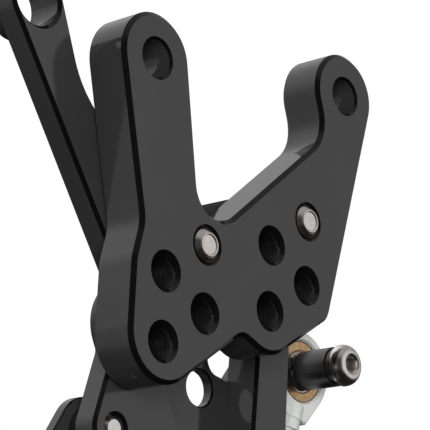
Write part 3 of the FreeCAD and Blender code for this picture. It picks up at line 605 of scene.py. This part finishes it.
# button-head bolt through the link ball: domed head with a rimmed hexagon socket
linkBolt = {
    "axisX": 69.9,
    "axisZ": -67.5,
    "face": 4.95,  # outer end of the head
    "headR": 5.25,
    "headHigh": 3.25,
    "domeHigh": 0.86,  # share of the head's height
    "domeSteps": 8,
    "flatR": 3.0,  # where the dome starts
    "rimR": 2.75,
    "mouthR": 2.5,
    "socketFlats": 3.8,
    "socketDeep": 2.0,
    "end": 40.15,
    "endBevel": (0.8, 0.7),  # along and inwards
    "shankR": 2.95,
    "steps": 72,
}


def hexRadius(angle, acrossFlats):
    part = (angle + math.pi / 6) % (math.pi / 3) - math.pi / 6
    return acrossFlats / 2 / math.cos(part)


def buttonBolt(spec):
    face, head, high, flat = spec["face"], spec["headR"], spec["headHigh"], spec["flatR"]
    shank = spec["shankR"]
    backBevel, inBevel = spec["endBevel"]
    # distance along the axis and radius, from the floor of the socket; none stands for the hexagon
    rings = [(face + spec["socketDeep"], None), (face + 0.45, None)]
    rings += [(face + 0.2, spec["mouthR"]), (face, spec["rimR"]), (face + 0.05, flat)]
    for i in range(1, spec["domeSteps"] + 1):
        angle = math.pi / 2 * i / spec["domeSteps"]
        rise = high * spec["domeHigh"] * (1 - math.cos(angle))
        rings.append((face + rise, flat + (head - flat) * math.sin(angle)))
    rings += [(face + high - 0.1, head), (face + high, head - 0.15), (face + high, shank)]
    rings += [(spec["end"] - backBevel, shank), (spec["end"], shank - inBevel)]
    sections = []
    for along, radius in rings:
        ring = []
        for i in range(spec["steps"]):
            angle = 2 * math.pi * i / spec["steps"]
            r = radius or hexRadius(angle, spec["socketFlats"])
            ring.append(aroundAxis(spec, r, angle, along))
        sections.append(ring)
    points, faces = sweepProfile(sections)
    bolt = addPiece("link_bolt_shape", points, faces, "gear_lever", "stainless")
    bolt.data.set_sharp_from_angle(angle=math.radians(40))
    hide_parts("link_bolt")


buttonBolt(linkBolt)
print("link bolt")


# painted shade: thin black rings laid where the race meets the eye and the ball, standing in for the
# shadow in the gaps there
raceShadeRings = {
    "axisX": 69.9,
    "axisZ": -67.5,
    "start": 21.4,
    "deep": 0.12,
    "outer": 7.7,
    "inner": 5.3,
    "wide": 0.32,
}


def paintRaceShadeRings(spec):
    for name, radius in (("race_outer_shade_ring", spec["outer"]), ("race_inner_shade_ring", spec["inner"])):
        wide, deep = radius + spec["wide"], spec["deep"]
        rings = [(0.0, radius), (0.0, wide), (deep, wide), (deep, radius)]
        centre = (spec["axisX"], spec["start"], spec["axisZ"])
        lathe(rings, "shift_rod", name, "black_steel", centre)


paintRaceShadeRings(raceShadeRings)
print("seams of the upper race")


# rolled lips on the ends of the two hanger bolts
boltTips = {
    "places": [(12.7, -42.3), (50.3, -33.8)],
    "start": -0.55,
    "lip": [(-0.28, 2.35), (-0.42, 2.6), (-0.28, 2.95), (0.12, 3.1), (0.12, 2.2)],  # along, radius
}


def tipLips(spec):
    for number, (x, z) in enumerate(spec["places"], start=1):
        lathe(spec["lip"], "root", f"bolt_lip_{number}", "stainless", (x, spec["start"], z))


tipLips(boltTips)
print("bolt ends")


# diamond knurl bands on the peg between its grooves
pegKnurl = {
    "axisX": 24.0,
    "axisZ": -122.0,
    "first": 87.2,
    "pitch": 7.4,
    "bands": 9,
    "long": 5.4,
    "core": 11.3,  # the band's ends dip under the barrel
    "valley": 11.55,
    "crest": 12.0,
    "points": 60,
    "rows": 8,
}


def knurlBand(spec, start):
    sections = []
    for row in range(spec["rows"] + 1):
        along = start + spec["long"] * row / spec["rows"]
        ring = []
        for i in range(spec["points"]):
            angle = 2 * math.pi * i / spec["points"]
            raised = (i + row) % 2 == 0 and 0 < row < spec["rows"]
            r = spec["crest"] if raised else spec["valley"]
            if row in (0, spec["rows"]):
                r = spec["core"]
            ring.append(aroundAxis(spec, r, angle, along))
        sections.append(ring)
    return sweepProfile(sections)


def knurlPeg(spec):
    for number in range(spec["bands"]):
        points, faces = knurlBand(spec, spec["first"] + number * spec["pitch"])
        addPiece(f"knurl_band_{number + 1}", points, faces, "foot_peg", "black_anodised", smooth=False)


knurlPeg(pegKnurl)
print("knurl on the peg")
